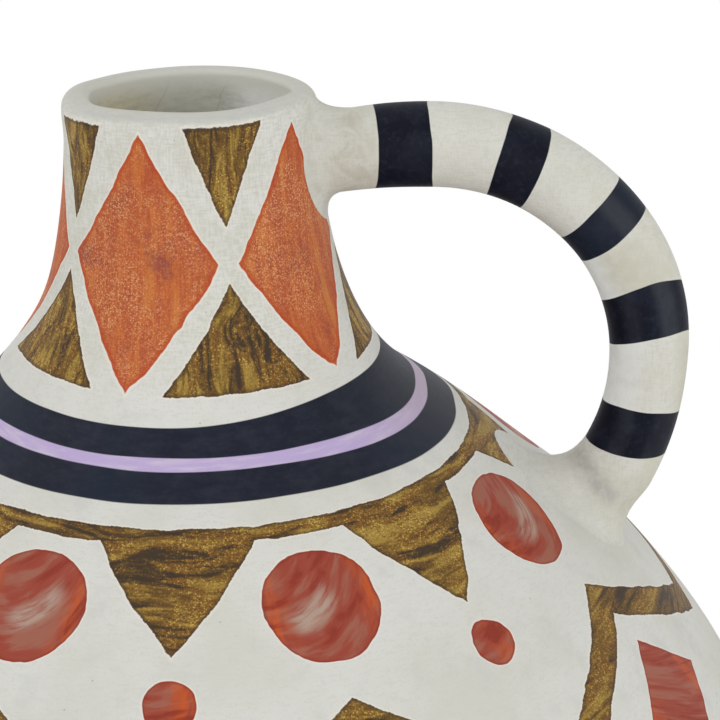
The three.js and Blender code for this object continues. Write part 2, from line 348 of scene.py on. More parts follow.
def make_bowl(finishes):
    runs = [
        (wall_at(face(FLOOR_SEAM, BELLY_SEAM, RING_STEP), 0), 0),
        (lap(BELLY_SEAM, True), 2),
        (inside(FLOOR_SEAM, BELLY_SEAM + LAP), 1),
    ]
    return turned("bowl_wall", runs, finishes)


def make_dome(finishes):
    runs = [
        (wall_at(face(BELLY_SEAM, NECK_SEAM, RING_STEP), 0), 0),
        (lap(NECK_SEAM, True), 2),
        (inside(BELLY_SEAM + LAP, NECK_SEAM + LAP), 1),
        (lap(BELLY_SEAM, False), 2),
    ]
    return turned("dome_wall", runs, finishes)


def make_neck(finishes):
    runs = [
        (wall_at(face(NECK_SEAM, LIP_SEAM, RING_STEP), 0), 0),
        (lap(LIP_SEAM, True), 2),
        (wall_at(face(NECK_SEAM + LAP, LIP_SEAM + LAP, RING_STEP)[::-1], WALL), 1),
        (lap(NECK_SEAM, False), 2),
    ]
    return turned("neck_wall", runs, finishes)


def quarter(centre, reach, rise, turns):
    """Rows of radius and height round a quarter of an ellipse."""
    return np.column_stack([centre[0] + reach * np.cos(turns), centre[1] + rise * np.sin(turns)])


def make_lip(finishes):
    start = RIM - LIP_ROUND
    outer = wall_at(start, 0)[0, 0]
    inner = wall_at(RIM - LIP_INNER_ROUND, WALL)[0, 0]
    crest = inner + LIP_INNER_ROUND
    turn = np.linspace(0, math.pi / 2, ARC_STEPS + 1)
    inner_centre = (crest, RIM - LIP_INNER_ROUND)
    outside = quarter((crest, start), outer - crest, LIP_ROUND, turn)
    back = quarter(inner_centre, LIP_INNER_ROUND, LIP_INNER_ROUND, math.pi / 2 + turn[1:])
    over = np.vstack([outside, back])
    over = np.column_stack([over, LIP_ROUND * (1 - np.linspace(0, 2, len(over)))])
    seat = wall_at([RIM - LIP_INNER_ROUND - SEAM_STEP, LIP_SEAM + LAP + SEAM_STEP, LIP_SEAM + LAP], WALL)
    seat[:, 2] = over[-1, 2]
    runs = [
        (wall_at(face(LIP_SEAM, start, RING_STEP)[:-1], 0), 0),
        (over, 0),
        (seat, 1),
        (lap(LIP_SEAM, False), 2),
    ]
    return turned("mouth_lip", runs, finishes)


def make_coil(name, seam, clay):
    middle = seam + LAP
    back = wall_at(np.linspace(middle - COIL_SPAN / 2, middle + COIL_SPAN / 2, COIL_ROWS), WALL)
    half = (back[-1, :2] - back[0, :2]) / 2
    inward = np.array([-half[1], half[0]]) / np.hypot(*half) * COIL_THICKNESS
    turn = np.linspace(0, math.pi, ARC_STEPS + 1)[1:-1, None]
    bulge = back[0, :2] + half + half * np.cos(turn) + inward * np.sin(turn)
    round_face = np.column_stack([bulge, np.full(len(bulge), back[0, 2])])
    return turned(name, [(back, 0), (round_face, 0)], [clay])


def make_floor_coil(clay):
    back = wall_at(np.linspace(FLOOR_SEAM, FLOOR_SEAM + FLOOR_COIL_REACH, FOOT_ROWS), WALL)
    corner = back[0, :2]
    toe = corner - (FLOOR_COIL_REACH, 0)
    chord = (back[-1, :2] + toe) / 2
    hollow = (1 - FLOOR_COIL_HOLLOW) * chord + FLOOR_COIL_HOLLOW * corner
    t = np.linspace(0, 1, ARC_STEPS + 1)[1:, None]
    slope = (1 - t) ** 2 * back[-1, :2] + 2 * t * (1 - t) * hollow + t ** 2 * toe
    slope = np.column_stack([slope, np.full(len(slope), back[0, 2])])
    return turned("floor_coil_clay", [(back, 0), (slope, 0)], [clay])


# Handle

def handle_line():
    """Middle line in the XZ plane from the neck's face to the shoulder's, and its run."""
    top = np.array([along_line(RIM - HANDLE_ROOT_DROP, LINE[:, 0]), RIM - HANDLE_ROOT_DROP])
    above = LINE[:, 1] > BELLY_SEAM
    foot_height = np.interp(-HANDLE_FOOT_RADIUS, -LINE[above, 0], LINE[above, 1])
    foot = np.array([HANDLE_FOOT_RADIUS, foot_height])
    up = lean_way(HANDLE_FOOT_LEAN)
    side = np.array(HANDLE_SIDE)
    bend = np.array([top[0] + HANDLE_LEAD / 2, RIM - HANDLE_DROP])
    level = bend + (HANDLE_LEAD / 2, 0)
    rise = foot + HANDLE_FOOT_STRAIGHT * up
    pull_out, pull_up, pull_down, pull_foot = HANDLE_PULLS
    lead = bezier((top, (top + 2 * bend) / 3, (level + 2 * bend) / 3, level), CURVE_STEPS)
    over = bezier((level, level + (pull_out, 0), side + (0, pull_up), side), CURVE_STEPS)
    down = bezier((side, side - (0, pull_down), rise + pull_foot * up, rise), CURVE_STEPS)
    line = np.vstack([lead[:-1], over[:-1], down[:-1], np.linspace(rise, foot, HANDLE_FOOT_ROWS)])
    run = np.concatenate([[0], np.cumsum(np.hypot(*np.diff(line, axis=0).T))])
    return line, run


HANDLE_LINE, HANDLE_RUN = handle_line()
HANDLE_LENGTH = HANDLE_RUN[-1]
HANDLE_WAY = np.gradient(HANDLE_LINE, HANDLE_RUN, axis=0)
HANDLE_WAY /= np.linalg.norm(HANDLE_WAY, axis=1)[:, None]


def handle_at(run):
    """Middle, way and outward way of the handle at these runs, straight on past its ends."""
    run = np.atleast_1d(run)
    kept = np.clip(run, 0, HANDLE_LENGTH)
    way = np.column_stack([np.interp(kept, HANDLE_RUN, HANDLE_WAY[:, i]) for i in (0, 1)])
    middle = np.column_stack([np.interp(kept, HANDLE_RUN, HANDLE_LINE[:, i]) for i in (0, 1)])
    middle += (run - kept)[:, None] * way
    zero = np.zeros(len(run))
    return (
        np.column_stack([middle[:, 0], zero, middle[:, 1]]),
        np.column_stack([way[:, 0], zero, way[:, 1]]),
        np.column_stack([-way[:, 1], zero, way[:, 0]]),
    )


def handle_radius(run, turn):
    """Radius of the handle, uneven between its roots as a rolled coil is, and worn."""
    from_root = np.minimum(run, HANDLE_LENGTH - run)
    (swell, swell_run), (oval, oval_run) = HANDLE_SWELL, HANDLE_OVAL
    uneven = swell * np.sin(run / swell_run) + oval * np.sin(2 * turn + run / oval_run)
    outer, inner = np.maximum(np.cos(turn), 0), np.maximum(-np.cos(turn), 0)
    worn = OUTER_WEAR + sum(depth * ramp(run, start, span) for depth, start, span in OUTER_WEAR_GROWS)
    depth, place, spread = OUTER_HOLLOW
    worn = worn + depth * dent((run - place) / spread, 0)
    hollow = sum(depth * dent((run - place) / spread, 0) for depth, place, spread in INNER_HOLLOWS)
    uneven = uneven * ramp(from_root, *HANDLE_TRUE_ENDS)
    return HANDLE_RADIUS + uneven - outer * worn - inner * hollow


def make_handle(finish):
    count = math.ceil((HANDLE_LENGTH + 2 * HANDLE_SINK) / HANDLE_STEP)
    run = np.linspace(-HANDLE_SINK, HANDLE_LENGTH + HANDLE_SINK, count + 1)
    middle, way, out = handle_at(run)
    across = np.cross(way, out)
    turn = HANDLE_TURNS
    radius = handle_radius(run[:, None], turn[None])
    cos, sin = np.cos(turn)[None, :, None], np.sin(turn)[None, :, None]
    rows = middle[:, None] + radius[:, :, None] * (cos * out[:, None] + sin * across[:, None])
    values = {
        "run": np.repeat(run, HANDLE_SIDES),
        "side": np.tile(np.cos(turn), len(run)),
        "root": np.zeros(rows.shape[:2]),
    }
    return grid_piece("loop_handle", rows, finish, values, True)


def on_wall(starts, way):
    """The points moved along way until they lie on the outer face."""
    low, high = (np.full(len(starts), end) for end in WALL_SEARCH)
    for _ in range(WALL_SEARCH_HALVINGS):
        middle = (low + high) / 2
        points = starts + middle[:, None] * way
        inside_wall = np.hypot(points[:, 0], points[:, 1]) < face_radius(points[:, 2])
        low, high = np.where(inside_wall, middle, low), np.where(inside_wall, high, middle)
    return starts + low[:, None] * way, low


def round_root(outer, sides, inner, turn):
    """A size with these values on the handle's outer side, its flanks and its inner side."""
    out, back = np.maximum(np.cos(turn), 0), np.maximum(-np.cos(turn), 0)
    return sides + (outer - sides) * out ** 2 + (inner - sides) * back ** LUTE_INNER_POWER


def make_lute(name, at_foot, finish):
    """Wad smoothed from the handle into the wall: a hollow fillet, sunk behind both faces."""
    size, root_run = (FOOT_LUTE, HANDLE_LENGTH) if at_foot else (TOP_LUTE, 0)
    root, way, out = (rows[0] for rows in handle_at(root_run))
    away = -way if at_foot else way
    across = np.cross(away, out)
    turn = HANDLE_TURNS
    spoke = np.cos(turn)[:, None] * out + np.sin(turn)[:, None] * across
    radius = handle_radius(root_run, turn)
    flares = round_root(*size["flare"], turn)
    lengths = round_root(*size["length"], turn)
    corner, start = on_wall(root + radius[:, None] * spoke, away)
    edge, _ = on_wall(root + (radius + flares)[:, None] * spoke, away)
    end_run = HANDLE_LENGTH - start - lengths if at_foot else start + lengths
    middle, _, end_out = handle_at(end_run)
    end_spoke = np.cos(turn)[:, None] * end_out + np.sin(turn)[:, None] * across
    end = middle + (handle_radius(end_run, turn) + LUTE_EDGE)[:, None] * end_spoke
    bend = corner + size["fullness"] * ((edge + end) / 2 - corner)
    t = np.linspace(0, 1, LUTE_STEPS + 1)[:, None, None]
    fillet = (1 - t) ** 2 * edge + 2 * t * (1 - t) * bend + t ** 2 * end
    under_end = end - LUTE_SUNK * end_spoke
    under_corner = corner - LUTE_SUNK * (spoke + away)
    under_edge = edge - LUTE_SUNK * away
    rows = np.concatenate([fillet, np.stack([under_end, under_corner, under_edge])])
    fade = np.concatenate([1 - t[:, 0, 0], [0, 1, 1]])
    from_root = (rows - root) @ away
    values = {
        "run": HANDLE_LENGTH - from_root if at_foot else from_root,
        "side": np.tile(np.cos(turn), len(rows)),
        "root": np.repeat(fade, HANDLE_SIDES),
    }
    return grid_piece(name, rows, finish, values, False)


# Shader arithmetic

class Val:
    """A number that a material works out at each point."""

    def __init__(self, socket):
        self.tree = socket.id_data
        self.socket = socket

    def math(self, operation, *others):
        node = self.tree.nodes.new("ShaderNodeMath")
        node.operation = operation
        for socket, value in zip(node.inputs, (self, *others)):
            feed(socket, value)
        return Val(node.outputs[0])

    def __add__(self, other):
        return self.math("ADD", other)

    def __sub__(self, other):
        return self.math("SUBTRACT", other)

    def __mul__(self, other):
        return self.math("MULTIPLY", other)

    def __truediv__(self, other):
        return self.math("DIVIDE", other)

    def __abs__(self):
        return self.math("ABSOLUTE")

    __radd__ = __add__
    __rmul__ = __mul__

    def __rsub__(self, other):
        return (self * -1) + other

    def least(self, other):
        return self.math("MINIMUM", other)

    def most(self, other):
        return self.math("MAXIMUM", other)

    def rise(self, low, high):
        """0 below low, 1 above high, smooth between."""
        node = self.tree.nodes.new("ShaderNodeMapRange")
        node.interpolation_type = "SMOOTHSTEP"
        feed(node.inputs["Value"], self)
        feed(node.inputs["From Min"], low)
        feed(node.inputs["From Max"], high)
        return Val(node.outputs["Result"])

    def fall(self, low, high):
        return 1 - self.rise(low, high)


def feed(socket, value):
    """Link a socket to a value that is worked out, or set it to a constant."""
    if isinstance(value, Val):
        socket.id_data.links.new(value.socket, socket)
    elif isinstance(value, bpy.types.NodeSocket):
        socket.id_data.links.new(value, socket)
    elif isinstance(value, tuple) and len(value) == 3 and socket.type == "RGBA":
        socket.default_value = (*value, 1)
    else:
        socket.default_value = value


class Paint:
    """A material in millimetres, with its colour, roughness and relief so far."""

    def __init__(self, name):
        self.material = bpy.data.materials.new(name)
        self.material.use_nodes = True
        self.tree = self.material.node_tree
        self.tree.nodes.clear()
        place = self.tree.nodes.new("ShaderNodeTexCoord").outputs["Object"]
        apart = self.tree.nodes.new("ShaderNodeSeparateXYZ")
        self.tree.links.new(place, apart.inputs[0])
        self.x, self.y, self.z = (Val(out) * (1 / MM) for out in apart.outputs)
        self.spot = self.vector(self.x, self.y, self.z)
        self.colour = self.rough = self.relief = self.marks = None

    def vector(self, x, y, z):
        node = self.tree.nodes.new("ShaderNodeCombineXYZ")
        for socket, value in zip(node.inputs, (x, y, z)):
            feed(socket, value)
        return node.outputs[0]

    def value(self, name):
        node = self.tree.nodes.new("ShaderNodeAttribute")
        node.attribute_name = name
        return Val(node.outputs["Fac"])

    def noise(self, vector, size, detail=2.0, rough=0.5, bend=0.0):
        """Noise from 0 to 1 whose features are about this many units of the vector apart."""
        node = self.tree.nodes.new("ShaderNodeTexNoise")
        feed(node.inputs["Vector"], vector)
        settings = {"Scale": 1 / size, "Detail": detail, "Roughness": rough, "Distortion": bend}
        for key, value in settings.items():
            node.inputs[key].default_value = value
        return Val(node.outputs[0])

    def cells(self, size):
        """Distance to the nearest scattered point, as a share of the spacing, and its random number."""
        node = self.tree.nodes.new("ShaderNodeTexVoronoi")
        feed(node.inputs["Vector"], self.spot)
        node.inputs["Scale"].default_value = 1 / size
        shade = self.tree.nodes.new("ShaderNodeSeparateColor")
        self.tree.links.new(node.outputs["Color"], shade.inputs[0])
        return Val(node.outputs["Distance"]), Val(shade.outputs[0])

    def grains(self):
        """Share of a fine grain at each point, and a random number for it."""
        near, pick = self.cells(GRAIN)
        return near.fall(0.3, 0.7), pick

    def mix(self, share, first, second):
        node = self.tree.nodes.new("ShaderNodeMix")
        node.data_type = "RGBA"
        colours = [socket for socket in node.inputs if socket.type == "RGBA"]
        feed(node.inputs[0], share)
        feed(colours[0], first)
        feed(colours[1], second)
        return next(out for out in node.outputs if out.type == "RGBA")

    def stain(self, share, colour):
        """Another colour in what is there, where share is 1."""
        self.colour = self.mix(share, self.colour, colour)

    def lay(self, share, colour, rough, relief):
        """Another coat over what is there, where share is 1."""
        self.stain(share, colour)
        self.rough = self.rough + share * (rough - self.rough)
        self.relief = self.relief + share * relief

    def finish(self):
        links = self.tree.links
        shader = self.tree.nodes.new("ShaderNodeBsdfPrincipled")
        shader.inputs["Specular IOR Level"].default_value = SHEEN
        output = self.tree.nodes.new("ShaderNodeOutputMaterial")
        bump = self.tree.nodes.new("ShaderNodeBump")
        bump.inputs["Strength"].default_value = 1
        bump.inputs["Distance"].default_value = MM
        feed(bump.inputs["Height"], self.relief)
        feed(shader.inputs["Base Color"], self.colour)
        feed(shader.inputs["Roughness"], self.rough)
        links.new(bump.outputs["Normal"], shader.inputs["Normal"])
        links.new(shader.outputs[0], output.inputs["Surface"])
        return self.material


# Pigments

SHEEN = 0.1
SLIP_PALE = (0.685, 0.685, 0.65)
SLIP_WARM = (0.6, 0.59, 0.51)
SLIP_GREY = (0.56, 0.565, 0.54)
SLIP_RIM = (0.55, 0.55, 0.5)
SLIP_CREASE_SHADE = (0.47, 0.49, 0.47)
SLIP_AGED = (0.61, 0.595, 0.5)
SLIP_SMUDGE = (0.46, 0.44, 0.345)
SLIP_SHADE = (0.43, 0.425, 0.39)
SLIP_PAINTED_LIGHT = (0.85, 0.885, 0.865)
SLIP_HELD = (0.56, 0.545, 0.45)
SLIP_SPECK = (0.24, 0.21, 0.17)
SLIP_MARK = (0.49, 0.49, 0.42)
SLIP_LIGHT = (0.79, 0.79, 0.75)
RED_ORANGE = (0.55, 0.15, 0.038)
RED_MID = (0.415, 0.085, 0.035)
RED_PLUM = (0.28, 0.066, 0.05)
RED_FLECK = (0.76, 0.4, 0.19)
RED_GOLD = (0.56, 0.205, 0.052)
RED_THIN = (0.56, 0.21, 0.09)
RED_DARK = (0.2, 0.04, 0.026)
RED_EDGE = (0.44, 0.055, 0.014)
ROUNDEL_MID = (0.32, 0.062, 0.038)
ROUNDEL_ORANGE = (0.55, 0.1, 0.022)
ROUNDEL_PINK = (0.34, 0.13, 0.088)
ROUNDEL_EDGE = (0.25, 0.034, 0.02)
ROUNDEL_STROKE = (0.43, 0.31, 0.245)
BROWN_DARK = (0.054, 0.036, 0.022)
BROWN_MID = (0.15, 0.078, 0.021)
BROWN_RUSSET = (0.21, 0.098, 0.022)
BROWN_GOLD = (0.315, 0.193, 0.038)
BROWN_BRIGHT = (0.64, 0.45, 0.11)
BROWN_PALE = (0.42, 0.28, 0.07)
NAVY = (0.012, 0.0145, 0.026)
NAVY_DEEP = (0.0035, 0.0045, 0.0115)
NAVY_BLUE = (0.012, 0.019, 0.034)
NAVY_WORN = (0.025, 0.028, 0.042)
NAVY_PAINTED_SHEEN = (0.035, 0.038, 0.049)
LILAC = (0.5, 0.4, 0.64)
LILAC_PALE = (0.57, 0.5, 0.65)
LILAC_SHEEN = (0.5, 0.41, 0.49)
HALO = (0.82, 0.75, 0.66)
CLAY_WARM = (0.5, 0.25, 0.15)
CLAY_DARK = (0.36, 0.165, 0.095)
INNER_TOP = (0.72, 0.715, 0.65)
INNER_PAINTED_LIGHT = (0.92, 0.92, 0.905)
INNER_STAIN = (0.7, 0.64, 0.42)
INNER_GREY = (0.61, 0.605, 0.525)
INNER_DARK = (0.46, 0.45, 0.37)
INNER_CLEAN = 12
CRACK_SPACING = 34
EDGE_SOFT = 0.14
GRAIN = 0.52


def slip_ground(p, age, weave):
    """Brushed matt slip, cloudy, with a few specks. Age warms it, weave brings out its brush marks."""
    cloud = p.noise(p.spot, 42, 3, 0.55)
    patch = p.noise(p.spot, 11, 4, 0.6)
    weave_up = p.noise(p.vector(p.x * 1.6, p.y * 1.6, p.z * 0.28), 1.0, 2, 0.6)
    weave_across = p.noise(p.vector(p.x * 0.3, p.y * 0.3, p.z * 1.8), 1.0, 2, 0.6)
    grain = p.noise(p.spot, 0.55, 2, 0.6)
    colour = p.mix(cloud.rise(0.38, 0.7) * 0.6, SLIP_PALE, SLIP_WARM)
    colour = p.mix(patch.rise(0.48, 0.78) * 0.6, colour, SLIP_GREY)
    marks = (weave_up + weave_across) * 0.5
    colour = p.mix(marks.rise(0.46, 0.66) * 0.6, colour, SLIP_WARM)
    near, pick = p.cells(7)
    speck = near.fall(0.025, 0.06) * pick.rise(0.72, 0.74)
    colour = p.mix(speck * 0.5, colour, SLIP_SPECK)
    colour = p.mix(age * (0.3 + patch.rise(0.4, 0.62) * 0.85), colour, SLIP_AGED)
    colour = p.mix(marks.rise(0.49, 0.6) * weave, colour, SLIP_MARK)
    p.colour = p.mix(marks.fall(0.4, 0.51) * weave, colour, SLIP_LIGHT)
    p.marks = marks
    p.rough = 0.7 + marks * 0.16
    p.relief = marks * 0.05 + grain * 0.03 + patch * 0.12


def greyish_smudges(p, share):
    """Darker greyish yellow smudges, as much as share gives."""
    smudge = p.noise(p.spot, 8, 4, 0.65, 0.6)
    p.stain(share * (0.28 + smudge.rise(0.4, 0.7) * 0.5), SLIP_SMUDGE)


def coat(distance):
    return distance.fall(-EDGE_SOFT, EDGE_SOFT)


def halo(p, distance):
    """Thin pale line that the slip shows beside thick paint."""
    p.stain(distance.fall(0.2, 0.75) * 0.6, HALO)


def lay_red(p, distance, stroke):
    """Orange red, brushed up and down, with plum clouds, and pale grains where it is thin."""
    streak = p.noise(stroke, 1.5, 3, 0.6)
    swath = p.noise(stroke, 6, 2, 0.5)
    cloud = p.noise(p.spot, 11, 4, 0.6, 0.4)
    thin = p.noise(p.spot, 19, 3, 0.55)
    grain, pick = p.grains()
    bristle = p.noise(stroke, 0.7, 2, 0.6)
    bare = thin.rise(0.36, 0.64)
    tone = streak * 0.28 + bristle * 0.2 + swath * 0.34 + p.marks * 0.18
    colour = p.mix(tone.rise(0.42, 0.58), RED_MID, RED_ORANGE)
    colour = p.mix(swath.rise(0.54, 0.7) * 0.7, colour, RED_GOLD)
    colour = p.mix(cloud.rise(0.54, 0.72) * 0.8, colour, RED_PLUM)
    colour = p.mix(bare * 0.2, colour, RED_THIN)
    colour = p.mix(grain * pick.rise(0.3, 0.9) * (0.16 + bare * 0.6), colour, RED_FLECK)
    colour = p.mix(grain * pick.fall(0.04, 0.4) * (0.15 + bare * 0.5), colour, RED_DARK)
    colour = p.mix(distance.rise(-1.6, -0.3) * 0.7, colour, RED_EDGE)
    halo(p, distance)
    p.lay(coat(distance), colour, 0.55, streak * 0.05 + grain * 0.03)


def lay_roundel(p, distance, across, down):
    """Deep red in bowed strokes, orange at the flanks, with one soft grey pink stroke across."""
    shift = (p.noise(p.spot, 60, 0) - 0.5) * 26
    along, aside = across * 0.85 - down * 0.53, across * 0.53 + down * 0.85 + shift * 0.5
    arch = aside - 2 + along * along * 0.022
    wash = p.noise(p.vector(along * 0.35, arch, (p.x + p.y) * 0.08), 5.5, 3, 0.5, 0.5)
    bristle = p.noise(p.vector(along * 0.16, arch, (p.x + p.y) * 0.03), 1.5, 3, 0.6)
    stroke = abs(arch).fall(1.5, 5.5) * abs(along + shift).fall(6, 14) * bristle.rise(0.22, 0.62)
    dry = p.noise(p.upright, 1.6, 3, 0.6)
    tone = wash * 0.8 + bristle * 0.2
    colour = p.mix(tone.rise(0.46, 0.6) * 0.85, ROUNDEL_MID, ROUNDEL_PINK)
    colour = p.mix(abs(across).rise(8, 16) * dry.rise(0.35, 0.65) * 0.8, colour, ROUNDEL_ORANGE)
    colour = p.mix(tone.fall(0.36, 0.46) * 0.8, colour, ROUNDEL_EDGE)
    colour = p.mix(stroke * 0.95, colour, ROUNDEL_STROKE)
    colour = p.mix(distance.rise(-1.1, -0.1) * 0.7, colour, ROUNDEL_EDGE)
    halo(p, distance)
    p.lay(coat(distance), colour, 0.5, bristle * 0.05)


def lay_brown(p, distance, stroke):
    """Thick brown in streaks from nearly black to gold, grainy, with a dark edge."""
    sweep = p.noise(stroke, 5.2, 3, 0.55, 1.2)
    bristle = p.noise(stroke, 1.2, 3, 0.6, 0.3)
    ground = p.noise(p.spot, 16, 2)
    grain, pick = p.grains()
    bare = ground.rise(0.44, 0.58)
    tone = sweep * 0.62 + bristle * 0.2 + p.marks * 0.18
    middle = p.mix(ground.rise(0.42, 0.6), BROWN_MID, BROWN_RUSSET)
    colour = p.mix(tone.rise(0.4, 0.49), BROWN_DARK, middle)
    colour = p.mix(tone.rise(0.49, 0.59), colour, BROWN_GOLD)
    colour = p.mix(sweep.rise(0.57, 0.68) * 0.4, colour, BROWN_PALE)
    bright = pick.rise(0.5, 1.0) * tone.rise(0.36, 0.56) * (0.4 + bare * 0.5)
    colour = p.mix(grain * bright, colour, BROWN_BRIGHT)
    colour = p.mix(grain * pick.fall(0.05, 0.45) * (0.4 + bare * 0.35), colour, BROWN_DARK)
    colour = p.mix(distance.rise(-1.3, -0.2) * 0.7, colour, BROWN_DARK)
    halo(p, distance)
    p.lay(coat(distance), colour, 0.5, bristle * 0.07 + grain * 0.05)


def lay_navy(p, distance, deep, painted_sheen):
    """Smooth blue black in small dabs. Deep takes it nearer to black, the last argument to a grey
    painted sheen.
    """
    brush = p.noise(p.vector(p.x * 0.3, p.y * 0.3, p.z * 1.2), 2.2, 3, 0.6)
    worn = p.noise(p.spot, 9, 4, 0.65)
    cool = p.noise(p.spot, 55, 1)
    colour = p.mix(cool.rise(0.42, 0.62), NAVY, NAVY_BLUE)
    colour = p.mix((brush * 0.5 + worn * 0.5).rise(0.4, 0.72) * (1 - deep), colour, NAVY_WORN)
    colour = p.mix(deep * (1.05 - worn.rise(0.4, 0.66) * 0.6), colour, NAVY_DEEP)
    dab = p.noise(p.spot, 2.2, 3, 0.65)
    colour = p.mix(dab.rise(0.5, 0.72) * 0.4, colour, NAVY_WORN)
    # Painted sheen: a grey highlight laid on the navy
    colour = p.mix(painted_sheen * (0.7 + worn.rise(0.38, 0.62) * 0.3), colour, NAVY_PAINTED_SHEEN)
    p.lay(coat(distance), colour, 0.46 + worn * 0.14, 0.04 + brush * 0.03)


def lay_lilac(p, distance, sheen_share):
    """Pale lilac in thin level strokes. The last argument, from 0 to 1, takes it towards a greyish pink
    painted sheen.
    """
    brush = p.noise(p.vector(p.x * 0.12, p.y * 0.12, p.z * 1.2), 1.4, 3, 0.6)
    colour = p.mix(brush.rise(0.42, 0.7), LILAC, LILAC_PALE)
    colour = p.mix(sheen_share, colour, LILAC_SHEEN)
    p.lay(coat(distance), colour, 0.55, 0.05 + brush * 0.03)


# Painted figures on the wall: counts round the jar, angles in degrees from the front, drops along
# the wall from the rim, and slopes, which turn a figure's own units into millimetres

STROKE_RADIUS = 60
LOZENGES = 5
LOZENGE_START = -18
LOZENGE_HALF_ANGLE = 32
LOZENGE_DROP = 45
LOZENGE_HALF_LENGTH = 39
LOZENGE_SLOPE = 16
TOP_TEETH_DROP = 4
TOP_TEETH_LENGTH = 31
TOP_TEETH_ANGLE = 17
TOP_TEETH_SLOPE = 10
LOW_TEETH_DROP = 84
LOW_TEETH_LENGTH = 33
LOW_TEETH_ANGLE = 24
LOW_TEETH_SLOPE = 16
# Edges of the collar's rings: height, lift by the handle, two angles over which it lifts, sag
COLLAR_EDGES = (
    (351.0, 4.0, -8, 66, -0.4),
    (344.1, -1.6, 30, 85, -1.3),
    (341.3, -1.8, 15, 72, -1.3),
    (334.9, -1.9, 20, 95, -1.6),
)
# Angles over which the edges sag and then go back to level, and where painted sheen greys the rings at
# both ends
COLLAR_SAG = (90, 112)
COLLAR_RETURN = (125, 170)
COLLAR_SHEEN_RIGHT = (42, 88)
COLLAR_SHEEN_LEFT = (-100, -58)
COLLAR_ABOVE = (250, 320)  # heights, so that the belly's rings stay out of it
SHOULDER_COUNT = 8
FRINGE_DROP = 127
FRINGE_LINE = 5
FRINGE_LENGTH = 40
FRINGE_ANGLE = 16
FRINGE_SLOPE = 22
ROUNDEL_DROP = 155
ROUNDEL_RADIUS = 17.5
DOT_DROP = 181
DOT_RADIUS = 7.5
DOT_STROKE_PAST = (12, 30)  # across and down, so that the pale stroke passes the dots by
ZIGZAG_DROP = 208
ZIGZAG_SWING = 18
ZIGZAG_HALF_WIDTH = 5
ZIGZAG_SLOPE = 0.8
DIAMOND_DROP = 229
DIAMOND_HALF_LENGTH = 22
DIAMOND_ANGLE = 8
DIAMOND_SLOPE = 16
BELLY_TEETH = 24
BELLY_RINGS = (288, 296, 299, 307)
BELLY_TEETH_LENGTH = 16
BELLY_TEETH_SLOPE = 13
BELLY_TEETH_GAP = 6
FOOT_RING_DROPS = (478, 486)
ROOT_CLEAR = (17.5, 30)  # reach of the bare slip round the handle's upper and lower root
TOOTH_CLEAR = 10
RIM_GREY_DROP = 5
RIM_CREASE_SHADE = 2.3
NECK_AGE = 0.5
NECK_WEAVE = 0.27


class WallPaint(Paint):
    """Slip on the wall, with the drop along it and the angle round it from the front."""

    def __init__(self, name):
        super().__init__(name)
        self.drop = self.value("drop")
        self.turn = self.x.math("ARCTAN2", self.y * -1) * (180 / math.pi)
        self.radius = (self.x * self.x + self.y * self.y).math("SQRT")
        round_x, round_y = (side / self.radius * STROKE_RADIUS for side in (self.x, self.y))
        sway = (self.noise(self.spot, 26, 2) - 0.5) * 16
        self.upright = self.vector(round_x, round_y, self.drop * 0.12)
        self.slanting = self.vector(round_x + sway, round_y + sway, self.drop * 0.2)
        self.level = self.vector(round_x * 0.3, round_y * 0.3, self.drop + sway * 0.5)
        slow = (self.noise(self.spot, 10, 2) - 0.5) * 2.2
        self.wobble = slow + (self.noise(self.spot, 2.6, 1) - 0.5) * 0.4
        self.ragged = self.wobble + (self.noise(self.spot, 0.8, 1) - 0.5) * 0.5
        self.steady = (self.noise(self.spot, 26, 1) - 0.5) * 0.4
        upper, lower = self.root_gaps()
        self.clear = self.wobble + upper.most(lower)
        on_neck = self.drop.fall(60, 95)
        slip_ground(self, on_neck * NECK_AGE, on_neck * NECK_WEAVE)
        greyish_smudges(self, upper.rise(-7, 6) * 0.7)
        self.stain(self.drop.fall(0, RIM_GREY_DROP) * 0.8, SLIP_RIM)
        # Painted shade: a grey line under the front of the rim stands in for the shade of a slight
        # crease
        crease_shade = abs(self.drop - RIM_CREASE_SHADE).fall(0.3, 1.1) * self.y.fall(-32, -12)
        self.stain(crease_shade * 0.4, SLIP_CREASE_SHADE)
        self.stain(self.drop.fall(-4, -1), INNER_TOP)

    def root_gaps(self):
        """Above 0 on the bare slip round each of the handle's roots."""
        gaps = []
        for run, reach in zip((0, HANDLE_LENGTH), ROOT_CLEAR):
            root = handle_at(run)[0][0]
            x, y, z = (place - float(spot) for place, spot in zip((self.x, self.y, self.z), root))
            gaps.append(reach - (x * x + y * y + z * z).math("SQRT"))
        return gaps

    def from_figure(self, count, start):
        """Angle from the nearest of count places round the jar."""
        half = 180 / count
        return (self.turn - start).math("WRAP", half, -half)

    def across(self, angle):
        return angle * self.radius * (math.pi / 180)


def tooth(across, along, half_angle, length, slope):
    """Signed distance to a triangle whose foot is at along 0 and whose tip is a length on."""
    return ((abs(across) / half_angle + along / length - 1) * slope).most(along * -1)


def ring(edge_top, edge_foot, height):
    return (height - edge_top).most(edge_foot - height)


def disc(across, down, radius):
    return (across * across + down * down).math("SQRT") - radius


